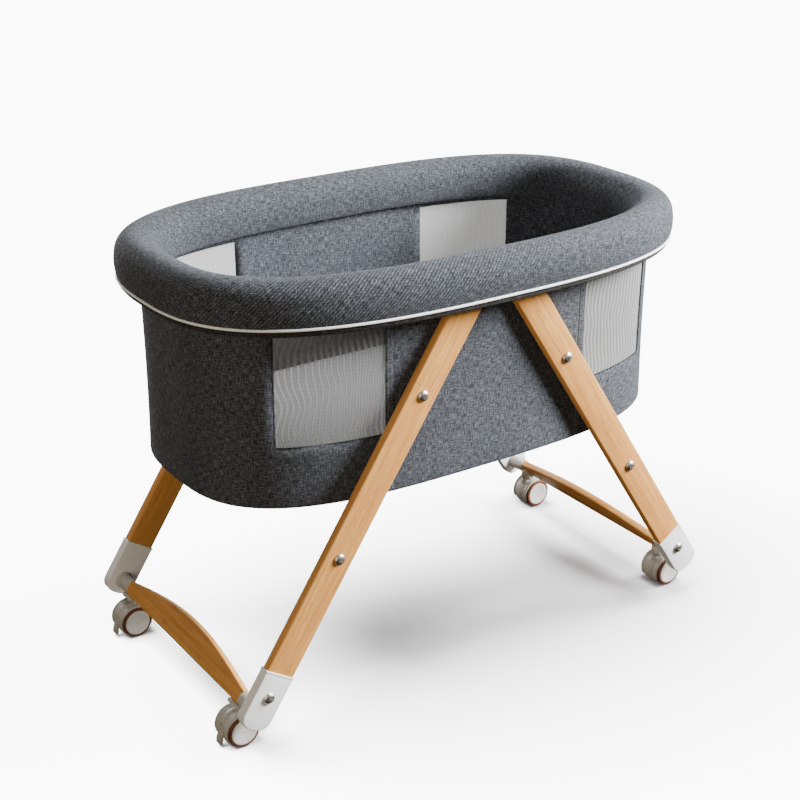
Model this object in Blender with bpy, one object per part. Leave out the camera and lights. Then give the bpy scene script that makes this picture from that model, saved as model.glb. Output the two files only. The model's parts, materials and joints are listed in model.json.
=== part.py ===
"""Bassinet on a wooden rocker stand with castors.

Frame: metres, +Z up, floor at z = 0, origin under the middle of the basket.
+X runs along the basket, left is -X, front is -Y.  Each foot is designed once, in a
corner frame whose x and y point outward, and is mirrored to the four corners.
"""
import math

import bmesh
import bpy
from mathutils import Vector

# ---------------------------------------------------------------- driving sizes
# Basket outline: superellipses, half length, half width and exponent
PIPING_OUTLINE = (0.432, 0.2626, 2.83)
WALL_TOP_OUTLINE = (0.400, 0.2185, 3.1)
WALL_BOTTOM_OUTLINE = (0.394, 0.2185, 3.1)

PIPING_Z = 0.6168            # middle of the white cord round the rim
PIPING_RADIUS = 0.0024
RIM_BOTTOM_Z = 0.6196
RIM_INNER_BOTTOM_Z = 0.6100
RIM_TOP_Z = 0.679
RIM_WIDTH = 0.061
RIM_CROWN = 0.028            # height of the rounded crest
RIM_SWELL = 0.002            # how far the outer face bulges past the piping's line
RIM_OUTER_HEIGHTS = (0.010, 0.008)   # of the swelling face, above its foot and below the crown's foot
RIM_INNER_DROP = 0.018       # of the inner face's straight part, below the crown's foot
PIPING_DEPTH = 0.001         # how far the cord's middle sits inside the rim's outer line
CHANNEL = (0.0195, 0.0495)   # slot in the rim's underside, as depths from its outer line
CHANNEL_TOP_Z = 0.662
CHANNEL_BEVEL = (0.0055, 0.007)
WALL_TOP_Z = 0.636
WALL_BOTTOM_Z = 0.3435
FABRIC = 0.003
RING_RADIUS = 0.007          # steel tube inside the rim
RING_DEPTH = 0.0328          # from the rim's outer line to the tube's middle
RING_Z = 0.650

WINDOW_X = (0.175, 0.327)
WINDOW_Z = (0.434, 0.602)
NET_MARGINS = (0.0005, 0.0024)   # from the opening's edge to the net: near and low or high, and far
NET_INSETS = (0.001, 0.002)  # the net's two faces, inside the wall's outer face
BOARD_THICKNESS = 0.006
BOARD_INSET, BOARD_EDGE = 0.005, 0.0008      # inside the wall's outer face
MATTRESS_THICKNESS = 0.028
MATTRESS_INSET, MATTRESS_EDGE = 0.009, 0.008

# Legs, given by their bolts in the corner frame
FOOT_BOLT_X, FOOT_BOLT_Z = 0.3865, 0.0938
UPPER_BOLT_X, UPPER_BOLT_Z = 0.1282, 0.4873
LOWER_BOLT_SHARE = 0.461     # of the way from the foot bolt to the upper bolt
LEG_OUTER_Y = 0.2335
LEG_THICKNESS = 0.014
LEG_WIDTH = 0.0475
LEG_TOP_Z = 0.620
LEG_EDGE = 0.0022            # rounding of the long edges
STRAP_WIDTH = 0.024
STRAP_THICKNESS = 0.0027
STRAP_TOP_Z = 0.655
STRAP_TAIL = 0.016           # below the lower bolt

BOLT_HEAD_RADIUS = 0.0085
BOLT_SHAFT_RADIUS = 0.003
BOLT_DOME = ((0.0085, 0.0010), (0.0076, 0.0030), (0.0056, 0.0042))   # radius, height
HEXAGON_RADIUS = 0.0034
HEXAGON_HEIGHTS = (0.0047, 0.0024)

# Foot sockets, measured along the leg from the foot bolt
SOCKET_TOP = 0.036
SOCKET_HUB = -0.027          # rocker pivot
SOCKET_ROUND = -0.030        # where the straight sides end
SOCKET_END = -0.0515
SOCKET_EXPONENT = 2.5        # superellipse of the lower end
SOCKET_PROUD = 0.001         # past the wood, on every side
SOCKET_INNER_Y = 0.218
SOCKET_EDGE = 0.0015         # bevel round both faces
SOCKET_FLOOR = 0.0012        # left closed behind the foot bolt
TONGUE_END = -0.014
TONGUE_WIDTH = 0.042
TONGUE_THICKNESS = 0.0092
TONGUE_MIDDLE_Y = 0.2262

# Rocker bars, in the leg's plane
BAR_END_Y = 0.187
BAR_BOTTOM = -0.0100         # straight edge, below the pivot
BAR_END_TOP = 0.0107
BAR_CREST = 0.0352
BAR_THICKNESS = 0.012
BAR_EDGE = 0.002
HUB_RADIUS = (0.0110, 0.0130)    # at the bar and at the foot
SPIGOT_RADIUS = 0.0055
SPIGOT_LENGTH = 0.0095
BEARING_DEPTH = 0.0102
TENON_LENGTH = 0.019
TENON_THICKNESS = 0.0054
TENON_SPAN = (-0.004, 0.008)     # above the pivot
ARM_Y = 0.164                    # inner end of the hub's shelf under the bar
ARM_DEPTH = 0.006
ARM_LIP = 0.002
EMBED = 0.004                # how far joined shapes reach into each other
HOLDER_SINK = 0.002          # from the pivot down to the stem holder's top
HOLDER_RADIUS = 0.0078
HOLDER_BOTTOM_Z = 0.0545

# Castors
WHEEL_RADIUS = 0.025
WHEEL_INNER, WHEEL_OUTER = 0.0123, 0.0225
AXLE_RADIUS = 0.003
CASTER_Y = 0.1766
CASTER_TRAIL = 0.013
STEM_INSET = 0.006           # inboard of the rocker pivot
STEM_RADIUS = 0.0035
STEM_BOTTOM_Z, STEM_TOP_Z = 0.0403, 0.0614
HOOD_RADIUS = 0.0245
HOOD_HALF_WIDTH = 0.0118
HOOD_SPAN = (-38.0, 218.0)    # degrees about the axle, from the outward direction
STEM_BOSS = ((0.0072, 0.036), (0.0072, 0.0505), (0.0060, 0.0520))   # radius, height
AXLE_HALF = 0.0205
WHEEL_HUB_END = 0.0208
WHEEL_CHAMFER = 0.0013
PEDAL_HALF_WIDTH = 0.006
PEDAL_SLOT_CLEARANCE = 0.0006
PEDAL_OUTLINE = (             # outward of and above the axle
    (0.0085, 0.0065), (0.0170, 0.0075), (0.0235, 0.0045), (0.0285, -0.0030), (0.0315, -0.0130),
    (0.0318, -0.0195), (0.0290, -0.0205), (0.0268, -0.0190), (0.0262, -0.0110), (0.0228, -0.0040),
    (0.0170, -0.0010), (0.0085, -0.0015))
PEDAL_SLOT = ((0.0066, -0.018), (0.05, 0.0115))     # clears the pedal when it is lifted
PEDAL_PIVOT = (0.013, 0.003)  # outward of and above the axle

GAP = 0.0003                 # between pieces that touch
OVAL_POINTS = 48
WHEEL_SIDES = 20
ROUND_SIDES = 12
BOSS_SIDES = 14
TUBE_SIDES = 6
CLEAR = 0.01                 # how far a cutter runs past the surface it opens

# ---------------------------------------------------------------- derived places
LEG_LEAN = math.atan2(FOOT_BOLT_X - UPPER_BOLT_X, UPPER_BOLT_Z - FOOT_BOLT_Z)
LEG_UP = Vector((-math.sin(LEG_LEAN), 0.0, math.cos(LEG_LEAN)))
LEG_OUT = Vector((math.cos(LEG_LEAN), 0.0, math.sin(LEG_LEAN)))
LEG_INNER_Y = LEG_OUTER_Y - LEG_THICKNESS
FOOT_BOLT = Vector((FOOT_BOLT_X, 0.0, FOOT_BOLT_Z))
UPPER_BOLT_ALONG = math.hypot(FOOT_BOLT_X - UPPER_BOLT_X, UPPER_BOLT_Z - FOOT_BOLT_Z)
LOWER_BOLT_ALONG = UPPER_BOLT_ALONG * LOWER_BOLT_SHARE
PIVOT = FOOT_BOLT + LEG_UP * SOCKET_HUB
STEM_X = PIVOT.x - STEM_INSET
AXLE_X = STEM_X + CASTER_TRAIL
AXLE_Z = WHEEL_RADIUS

CORNERS = {"front_left": (-1, -1), "front_right": (1, -1), "rear_left": (-1, 1), "rear_right": (1, 1)}

MATERIALS = {
    "fabric": ((0.115, 0.125, 0.145), 0.95, 0.0),
    "mesh": ((0.62, 0.63, 0.64), 0.9, 0.0),
    "piping": ((0.85, 0.84, 0.82), 0.6, 0.0),
    "mattress": ((0.70, 0.70, 0.68), 0.95, 0.0),
    "board": ((0.55, 0.45, 0.33), 0.8, 0.0),
    "beech": ((0.70, 0.47, 0.27), 0.5, 0.0),
    "steel": ((0.60, 0.59, 0.57), 0.3, 1.0),
    "white_plastic": ((0.82, 0.82, 0.80), 0.4, 0.0),
    "grey_plastic": ((0.42, 0.40, 0.36), 0.45, 0.0),
    "wheel": ((0.24, 0.12, 0.07), 0.5, 0.0),
}


# ---------------------------------------------------------------- modelling helpers
def material(name):
    """The named Principled material, made once."""
    made = bpy.data.materials.get(name)
    if made:
        return made
    colour, roughness, metallic = MATERIALS[name]
    made = bpy.data.materials.new(name)
    made.use_nodes = True
    shader = made.node_tree.nodes["Principled BSDF"]
    shader.inputs["Base Color"].default_value = (*colour, 1.0)
    shader.inputs["Roughness"].default_value = roughness
    shader.inputs["Metallic"].default_value = metallic
    return made


def loft(rings, wrap=False):
    """Faces between successive rings of points.  The ends are capped unless they wrap round."""
    bm = bmesh.new()
    rows = [[bm.verts.new(point) for point in ring] for ring in rings]
    pairs = list(zip(rows, rows[1:]))
    if wrap:
        pairs.append((rows[-1], rows[0]))
    for low, high in pairs:
        for i in range(len(low)):
            j = (i + 1) % len(low)
            bm.faces.new((low[i], low[j], high[j], high[i]))
    if not wrap:
        bm.faces.new(rows[0])
        bm.faces.new(rows[-1])
    return bm


def add_object(name, bm, slot, corner=(1, 1), origin=(0.0, 0.0, 0.0)):
    """An object from a mesh in the corner frame, mirrored to its corner, with the given origin."""
    bmesh.ops.scale(bm, vec=(corner[0], corner[1], 1.0), verts=bm.verts)
    place = Vector((origin[0] * corner[0], origin[1] * corner[1], origin[2]))
    bmesh.ops.translate(bm, vec=-place, verts=bm.verts)
    bmesh.ops.recalc_face_normals(bm, faces=bm.faces)
    mesh = bpy.data.meshes.new(name)
    bm.to_mesh(mesh)
    bm.free()
    mesh.shade_smooth()
    mesh.set_sharp_from_angle(angle=math.radians(35))
    mesh.materials.append(material(slot))
    made = bpy.data.objects.new(name, mesh)
    made.location = place
    bpy.context.collection.objects.link(made)
    return made


def combine(target, bm, corner=(1, 1), operation="DIFFERENCE"):
    """Cut, or join, a helper solid given in the corner frame."""
    helper = add_object(f"tool_{target.name}_{len(target.modifiers)}", bm, "board", corner)
    helper.hide_render = True
    helper.display_type = "WIRE"
    modifier = target.modifiers.new(operation.lower(), "BOOLEAN")
    modifier.operation = operation
    modifier.solver = "EXACT"
    modifier.object = helper


def block(low, high, origin=Vector((0, 0, 0)), axes=None):
    """A box between two corners, along the world axes or along the given ones."""
    ex, ey, ez = axes or (Vector((1, 0, 0)), Vector((0, 1, 0)), Vector((0, 0, 1)))
    rings = []
    for z in (low[2], high[2]):
        flat = ((low[0], low[1]), (high[0], low[1]), (high[0], high[1]), (low[0], high[1]))
        rings.append([origin + ex * x + ey * y + ez * z for x, y in flat])
    return loft(rings)


def lathe(profile, origin, axis="y", sides=ROUND_SIDES):
    """A turned solid.  The profile is (radius, distance along the axis), end to end."""
    rings = []
    for radius, along in profile:
        ring = []
        for i in range(sides):
            angle = 2 * math.pi * (i + 0.5) / sides
            a, b = radius * math.cos(angle), radius * math.sin(angle)
            offset = (a, along, b) if axis == "y" else (a, b, along)
            ring.append(Vector(origin) + Vector(offset))
        rings.append(ring)
    return loft(rings)


def rounded_rectangle(half_a, half_b, radius, steps=2):
    """Corner-rounded rectangle, as (a, b) pairs."""
    points = []
    for quarter in range(4):
        centre_a = (half_a - radius) * (1 if quarter in (0, 3) else -1)
        centre_b = (half_b - radius) * (1 if quarter in (0, 1) else -1)
        for step in range(steps + 1):
            angle = math.pi / 2 * (quarter + step / steps)
            points.append((centre_a + radius * math.cos(angle), centre_b + radius * math.sin(angle)))
    return points


# ---------------------------------------------------------------- basket outlines
def oval_radius(outline, angle):
    """Distance from the middle to the outline in a direction."""
    half_length, half_width, exponent = outline
    total = abs(math.cos(angle) / half_length) ** exponent + abs(math.sin(angle) / half_width) ** exponent
    return total ** (-1 / exponent)


def oval_stations(outline):
    """Evenly spaced points on an outline, each with its outward normal."""
    half_length, half_width, exponent = outline
    fine = []
    steps = OVAL_POINTS * 16
    for i in range(steps + 1):
        angle = 2 * math.pi * i / steps
        radius = oval_radius(outline, angle)
        fine.append(Vector((radius * math.cos(angle), radius * math.sin(angle), 0.0)))
    lengths = [0.0]
    for a, b in zip(fine, fine[1:]):
        lengths.append(lengths[-1] + (b - a).length)
    stations = []
    nearest = 0
    for i in range(OVAL_POINTS):
        target = lengths[-1] * i / OVAL_POINTS
        while lengths[nearest + 1] < target:
            nearest += 1
        share = (target - lengths[nearest]) / (lengths[nearest + 1] - lengths[nearest])
        point = fine[nearest].lerp(fine[nearest + 1], share)
        slope_x = math.copysign(abs(point.x / half_length) ** (exponent - 1) / half_length, point.x)
        slope_y = math.copysign(abs(point.y / half_width) ** (exponent - 1) / half_width, point.y)
        stations.append((point, Vector((slope_x, slope_y, 0.0)).normalized()))
    return stations


def sweep(outline, profile):
    """A ring of the profile's section.  The profile is (depth inside the outline, height)."""
    rings = []
    for point, normal in oval_stations(outline):
        rings.append([point - normal * depth + Vector((0, 0, z)) for depth, z in profile])
    return loft(rings, wrap=True)


def circle_profile(depth, z, radius):
    """A round section for a tube or a cord."""
    turns = [2 * math.pi * i / TUBE_SIDES for i in range(TUBE_SIDES)]
    return [(depth + radius * math.cos(turn), z + radius * math.sin(turn)) for turn in turns]


def wall_outline(z, inset=0.0):
    """The wall's outline at a height, moved inward by the inset."""
    share = (z - WALL_BOTTOM_Z) / (WALL_TOP_Z - WALL_BOTTOM_Z)
    half_length, half_width, exponent = (
        bottom + (top - bottom) * share for bottom, top in zip(WALL_BOTTOM_OUTLINE, WALL_TOP_OUTLINE))
    return half_length - inset, half_width - inset, exponent


def wall_y(x, outline):
    """Half width of an outline at a distance along the basket."""
    half_length, half_width, exponent = outline
    return half_width * (1 - (abs(x) / half_length) ** exponent) ** (1 / exponent)


def wall_ring(z, inset=0.0):
    """The wall's points at a height, with points on the windows' upright edges."""
    outline = wall_outline(z, inset)
    half_length, half_width, exponent = outline
    near, far = WINDOW_X
    quarter = [(near * i / 3, wall_y(near * i / 3, outline)) for i in range(3)]
    for i in range(5):
        x = near + (far - near) * i / 4
        quarter.append((x, wall_y(x, outline)))
    last_y = quarter[-1][1]
    for i in range(1, 7):
        y = last_y * (1 - i / 6)
        quarter.append((half_length * (1 - (y / half_width) ** exponent) ** (1 / exponent), y))
    points = [(x, y) for x, y in quarter]
    points += [(x, -y) for x, y in reversed(quarter[:-1])]
    points += [(-x, -y) for x, y in quarter[1:]]
    points += [(-x, y) for x, y in reversed(quarter[1:-1])]
    return [Vector((x, y, z)) for x, y in points]


# ---------------------------------------------------------------- basket
def rim_pad():
    """The padded rim: a channel, open below, that hangs over the tube and the wall."""
    middle = RIM_WIDTH / 2
    shoulder_z = RIM_TOP_Z - RIM_CROWN
    low_rise, high_drop = RIM_OUTER_HEIGHTS
    outer = [
        (PIPING_DEPTH, RIM_BOTTOM_Z), (-0.75 * RIM_SWELL, RIM_BOTTOM_Z + low_rise),
        (-RIM_SWELL, shoulder_z - high_drop)]
    crown = []
    for i in range(8):
        angle = math.pi * (1 - i / 7)
        crown.append((middle + (middle + PIPING_DEPTH) * math.cos(angle),
                      shoulder_z + RIM_CROWN * math.sin(angle)))
    inner = [(RIM_WIDTH, shoulder_z - RIM_INNER_DROP), (RIM_WIDTH - PIPING_DEPTH, RIM_INNER_BOTTOM_Z)]
    (near, far), (bevel_depth, bevel_height) = CHANNEL, CHANNEL_BEVEL
    channel = [
        (far, RIM_INNER_BOTTOM_Z), (far, CHANNEL_TOP_Z - bevel_height), (far - bevel_depth, CHANNEL_TOP_Z),
        (near + bevel_depth, CHANNEL_TOP_Z), (near, CHANNEL_TOP_Z - bevel_height), (near, RIM_BOTTOM_Z)]
    add_object("rim_pad", sweep(PIPING_OUTLINE, outer + crown + inner + channel), "fabric")


def rim_piping():
    """The white cord sewn along the rim's lower outer edge."""
    cord = circle_profile(PIPING_DEPTH, PIPING_Z, PIPING_RADIUS)
    add_object("rim_piping", sweep(PIPING_OUTLINE, cord), "piping")


def top_ring():
    """The bent steel tube inside the rim, which carries the basket."""
    add_object("top_ring", sweep(PIPING_OUTLINE, circle_profile(RING_DEPTH, RING_Z, RING_RADIUS)), "steel")


def basket_shell():
    """The fabric wall and floor in one, open above, with four window openings."""
    bm = bmesh.new()
    heights = (WALL_BOTTOM_Z, WINDOW_Z[0], WINDOW_Z[1], WALL_TOP_Z)
    rows = [[bm.verts.new(point) for point in wall_ring(z)] for z in heights]
    near, far = WINDOW_X
    for level, (low, high) in enumerate(zip(rows, rows[1:])):
        for i in range(len(low)):
            j = (i + 1) % len(low)
            middle_x = abs(low[i].co.x + low[j].co.x) / 2
            side = abs(low[i].co.y + low[j].co.y) / 2 > 0.12
            if level == 1 and side and near < middle_x < far:
                continue
            bm.faces.new((low[i], low[j], high[j], high[i]))
    ring = rows[0]
    for scale in (0.66, 0.33):
        inner = [bm.verts.new((v.co.x * scale, v.co.y * scale, WALL_BOTTOM_Z)) for v in rows[0]]
        for i in range(len(ring)):
            j = (i + 1) % len(ring)
            bm.faces.new((ring[i], ring[j], inner[j], inner[i]))
        ring = inner
    bm.faces.new(ring)
    shell = add_object("basket_shell", bm, "fabric")
    solidify = shell.modifiers.new("cloth", "SOLIDIFY")
    solidify.thickness = FABRIC
    solidify.offset = -1.0
    solidify.use_even_offset = True


def window_mesh(name, corner):
    """A net panel that fills one window, curved like the wall."""
    margin, far_margin = NET_MARGINS
    near, far = WINDOW_X[0] + margin, WINDOW_X[1] - far_margin
    low, high = WINDOW_Z[0] + margin, WINDOW_Z[1] - margin
    front, back = NET_INSETS
    rings = []
    for i in range(7):
        x = near + (far - near) * i / 6
        ring = []
        for z, inset in ((low, front), (high, front), (high, back), (low, back)):
            ring.append(Vector((x, wall_y(x, wall_outline(z)) - inset, z)))
        rings.append(ring)
    add_object(f"window_mesh_{name}", loft(rings), "mesh", corner)


def slab(name, slot, bottom, thickness, inset, edge):
    """A board or mattress with the wall's outline and rounded edges."""
    rings = []
    for z, extra in ((bottom, edge), (bottom + edge, 0.0), (bottom + thickness - edge, 0.0),
                     (bottom + thickness, edge)):
        outline = wall_outline(bottom, inset + extra)
        rings.append([point + Vector((0, 0, z)) for point, _ in oval_stations(outline)])
    add_object(name, loft(rings), slot)


def basket():
    """Everything between the legs."""
    rim_pad()
    rim_piping()
    top_ring()
    basket_shell()
    for name, corner in CORNERS.items():
        window_mesh(name, corner)
    board_bottom = WALL_BOTTOM_Z + FABRIC + GAP
    mattress_bottom = board_bottom + BOARD_THICKNESS + GAP
    slab("base_board", "board", board_bottom, BOARD_THICKNESS, BOARD_INSET, BOARD_EDGE)
    slab("mattress", "mattress", mattress_bottom, MATTRESS_THICKNESS, MATTRESS_INSET, MATTRESS_EDGE)


# ---------------------------------------------------------------- legs
def leg_point(along, across, y):
    """A point by its distance up the leg from the foot bolt and across it."""
    return FOOT_BOLT + LEG_UP * along + LEG_OUT * across + Vector((0, y, 0))


def leg_section(along, width, thickness, middle_y, level_z=None):
    """A rounded section of the leg, square across it or cut level at a height."""
    ring = []
    for across, depth in rounded_rectangle(width / 2, thickness / 2, LEG_EDGE):
        here = along
        if level_z is not None:
            here = (level_z - FOOT_BOLT_Z - across * LEG_OUT.z) / LEG_UP.z
        ring.append(leg_point(here, across, middle_y + depth))
    return ring


def leg_axes():
    """Across, outward and up the leg."""
    return LEG_OUT, Vector((0, 1, 0)), LEG_UP


def bolt_hole(along, low_y, high_y, radius=BOLT_SHAFT_RADIUS + GAP):
    """A round cutter across the leg at a distance up it."""
    return lathe([(radius, low_y), (radius, high_y)], leg_point(along, 0.0, 0.0))


def leg(name, corner):
    """A beech board, with a tongue in the foot socket and a groove for the strap."""
    middle = LEG_OUTER_Y - LEG_THICKNESS / 2
    rings = [
        leg_section(TONGUE_END, TONGUE_WIDTH, TONGUE_THICKNESS, TONGUE_MIDDLE_Y),
        leg_section(SOCKET_TOP + GAP, TONGUE_WIDTH, TONGUE_THICKNESS, TONGUE_MIDDLE_Y),
        leg_section(SOCKET_TOP + GAP, LEG_WIDTH, LEG_THICKNESS, middle),
        leg_section(0.0, LEG_WIDTH, LEG_THICKNESS, middle, level_z=LEG_TOP_Z),
    ]
    board = add_object(f"leg_{name}", loft(rings), "beech", corner, leg_point(0, 0, LEG_OUTER_Y))
    half = STRAP_WIDTH / 2 + GAP
    groove_floor = LEG_INNER_Y + STRAP_THICKNESS + 2 * GAP
    groove = block((-half, LEG_INNER_Y - CLEAR, LOWER_BOLT_ALONG - STRAP_TAIL - GAP),
                   (half, groove_floor, 2 * UPPER_BOLT_ALONG), FOOT_BOLT, leg_axes())
    combine(board, groove, corner)
    for along in (0.0, LOWER_BOLT_ALONG, UPPER_BOLT_ALONG):
        combine(board, bolt_hole(along, LEG_INNER_Y - CLEAR, LEG_OUTER_Y + CLEAR), corner)


def leg_strap(name, corner):
    """The steel strap let into the leg, which hangs the basket's tube on the two upper bolts."""
    low_y = LEG_INNER_Y + GAP
    half = STRAP_WIDTH / 2
    rings = []
    for along, level_z in ((LOWER_BOLT_ALONG - STRAP_TAIL, None), (0.0, STRAP_TOP_Z)):
        ring = []
        for across, y in ((-half, low_y), (half, low_y), (half, low_y + STRAP_THICKNESS),
                          (-half, low_y + STRAP_THICKNESS)):
            here = along
            if level_z is not None:
                here = (level_z - FOOT_BOLT_Z - across * LEG_OUT.z) / LEG_UP.z
            ring.append(leg_point(here, across, y))
        rings.append(ring)
    strap = add_object(f"leg_strap_{name}", loft(rings), "steel", corner)
    for along in (LOWER_BOLT_ALONG, UPPER_BOLT_ALONG):
        combine(strap, bolt_hole(along, LEG_INNER_Y - CLEAR, LEG_OUTER_Y), corner)


def bolt(name, corner, along, face_y, end_y):
    """A domed bolt with a hexagon socket, its head on the face at face_y."""
    base = face_y + GAP
    profile = [(BOLT_SHAFT_RADIUS, end_y), (BOLT_SHAFT_RADIUS, base), (BOLT_HEAD_RADIUS, base)]
    profile += [(radius, base + height) for radius, height in BOLT_DOME]
    bm = lathe(profile, leg_point(along, 0.0, 0.0))
    bm.faces.ensure_lookup_table()
    crown = max(bm.faces, key=lambda face: face.calc_center_median().y)
    centre = crown.calc_center_median()
    ring = list(crown.verts)
    bm.faces.remove(crown)
    for height in HEXAGON_HEIGHTS:
        lower = ring
        ring = []
        for vert in lower:
            offset = vert.co - centre
            angle = math.atan2(offset.z, offset.x)
            corner_angle = (angle + math.pi / 12) % (math.pi / 3)
            flat = 1.0 if corner_angle < math.pi / 12 else math.cos(math.pi / 6)
            radius = HEXAGON_RADIUS * flat
            ring.append(bm.verts.new((
                centre.x + radius * math.cos(angle), base + height, centre.z + radius * math.sin(angle))))
        for i in range(len(ring)):
            j = (i + 1) % len(ring)
            bm.faces.new((lower[i], lower[j], ring[j], ring[i]))
    bm.faces.new(ring)
    add_object(name, bm, "steel", corner, leg_point(along, 0.0, face_y))


def socket_outline(margin):
    """The foot socket's outline in the leg's plane: square on top, rounded below the rocker pivot."""
    half = LEG_WIDTH / 2 + SOCKET_PROUD - margin
    reach = SOCKET_ROUND - SOCKET_END - margin
    points = [(SOCKET_TOP - margin, half), (SOCKET_TOP - margin, -half)]
    for i in range(13):
        cosine, sine = -math.cos(math.pi * i / 12), math.sin(math.pi * i / 12)
        across = math.copysign(abs(cosine) ** (2 / SOCKET_EXPONENT), cosine)
        points.append((SOCKET_ROUND - reach * sine ** (2 / SOCKET_EXPONENT), half * across))
    return points


def foot_socket(name, corner):
    """The white plastic foot: a pocket for the leg's tongue above, a bearing for the rocker below."""
    outer = LEG_OUTER_Y + SOCKET_PROUD
    rings = []
    for y, margin in ((SOCKET_INNER_Y, SOCKET_EDGE), (SOCKET_INNER_Y + SOCKET_EDGE, 0.0),
                      (outer - SOCKET_EDGE, 0.0), (outer, SOCKET_EDGE)):
        rings.append([leg_point(along, across, y) for along, across in socket_outline(margin)])
    socket = add_object(f"foot_socket_{name}", loft(rings), "white_plastic", corner, leg_point(0, 0, outer))
    half_width, half_depth = TONGUE_WIDTH / 2 + GAP, TONGUE_THICKNESS / 2 + GAP
    pocket = block((-half_width, TONGUE_MIDDLE_Y - half_depth, TONGUE_END - GAP),
                   (half_width, TONGUE_MIDDLE_Y + half_depth, SOCKET_TOP + CLEAR), FOOT_BOLT, leg_axes())
    combine(socket, pocket, corner)
    combine(socket, bolt_hole(0.0, SOCKET_INNER_Y + SOCKET_FLOOR, outer + CLEAR), corner)
    bearing_floor = SOCKET_INNER_Y + BEARING_DEPTH
    bearing = bolt_hole(SOCKET_HUB, SOCKET_INNER_Y - CLEAR, bearing_floor, SPIGOT_RADIUS + GAP)
    combine(socket, bearing, corner)


def stand():
    """Four legs, each with its strap, bolts and foot."""
    strap_y = LEG_INNER_Y + GAP
    foot_bolt_end = SOCKET_INNER_Y + SOCKET_FLOOR + GAP
    for name, corner in CORNERS.items():
        leg(name, corner)
        leg_strap(name, corner)
        bolt(f"upper_bolt_{name}", corner, UPPER_BOLT_ALONG, LEG_OUTER_Y, strap_y)
        bolt(f"lower_bolt_{name}", corner, LOWER_BOLT_ALONG, LEG_OUTER_Y, strap_y)
        foot_socket(name, corner)
        bolt(f"foot_bolt_{name}", corner, 0.0, LEG_OUTER_Y + SOCKET_PROUD, foot_bolt_end)


# ---------------------------------------------------------------- rockers
def bar_top(y):
    """Height of the bar's bowed edge above the pivot: half a cosine wave."""
    return BAR_END_TOP + (BAR_CREST - BAR_END_TOP) * math.cos(math.pi / 2 * y / BAR_END_Y)


def rocker_bar(name, side):
    """A beech board from foot to foot, straight below and bowed above."""
    rings = []
    for i in range(15):
        y = (BAR_END_Y - GAP) * (i / 7 - 1)
        top = bar_top(y)
        ring = []
        half, middle = (top - BAR_BOTTOM) / 2, (top + BAR_BOTTOM) / 2
        for height, depth in rounded_rectangle(half, BAR_THICKNESS / 2, BAR_EDGE):
            ring.append(PIVOT + LEG_UP * (middle + height) + LEG_OUT * depth + Vector((0, y, 0)))
        rings.append(ring)
    bar = add_object(f"rocker_bar_{name}", loft(rings), "beech", (side, 1), PIVOT)
    for end in (-1, 1):
        combine(bar, tenon(GAP, CLEAR), (side, end))


def tenon(margin, reach):
    """The block that joins bar and hub, grown by the margin, or its mortise."""
    half = TENON_THICKNESS / 2 + margin
    low, high = TENON_SPAN
    near = BAR_END_Y - TENON_LENGTH - margin
    return block((-half, near, low - margin), (half, BAR_END_Y + reach, high + margin), PIVOT, leg_axes())


def rocker_hub(name, corner):
    """The plastic end of a rocker: a boss that turns in the foot, and a holder for the castor's stem."""
    near, far = HUB_RADIUS
    face = SOCKET_INNER_Y - GAP
    end = face + SPIGOT_LENGTH
    boss = lathe([(near, BAR_END_Y), (far, face), (SPIGOT_RADIUS, face), (SPIGOT_RADIUS, end)],
                 PIVOT, sides=BOSS_SIDES)
    hub = add_object(f"rocker_hub_{name}", boss, "grey_plastic", corner, PIVOT)
    half = BAR_THICKNESS / 2
    arm = block((-half - ARM_LIP, ARM_Y, BAR_BOTTOM - ARM_DEPTH),
                (half, BAR_END_Y + EMBED, BAR_BOTTOM + EMBED), PIVOT, leg_axes())
    combine(hub, arm, corner, "UNION")
    holder = lathe([(HOLDER_RADIUS, HOLDER_BOTTOM_Z), (HOLDER_RADIUS, PIVOT.z - HOLDER_SINK)],
                   (STEM_X, CASTER_Y, 0.0), "z")
    combine(hub, holder, corner, "UNION")
    around_bar = block((-half - GAP, ARM_Y - CLEAR, BAR_BOTTOM - GAP), (half + GAP, BAR_END_Y, BAR_CREST),
                       PIVOT, leg_axes())
    combine(hub, around_bar, corner)
    stem_hole = lathe([(STEM_RADIUS + GAP, HOLDER_BOTTOM_Z - CLEAR), (STEM_RADIUS + GAP, STEM_TOP_Z + GAP)],
                      (STEM_X, CASTER_Y, 0.0), "z")
    combine(hub, stem_hole, corner)
    combine(hub, tenon(0.0, EMBED), corner, "UNION")


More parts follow.
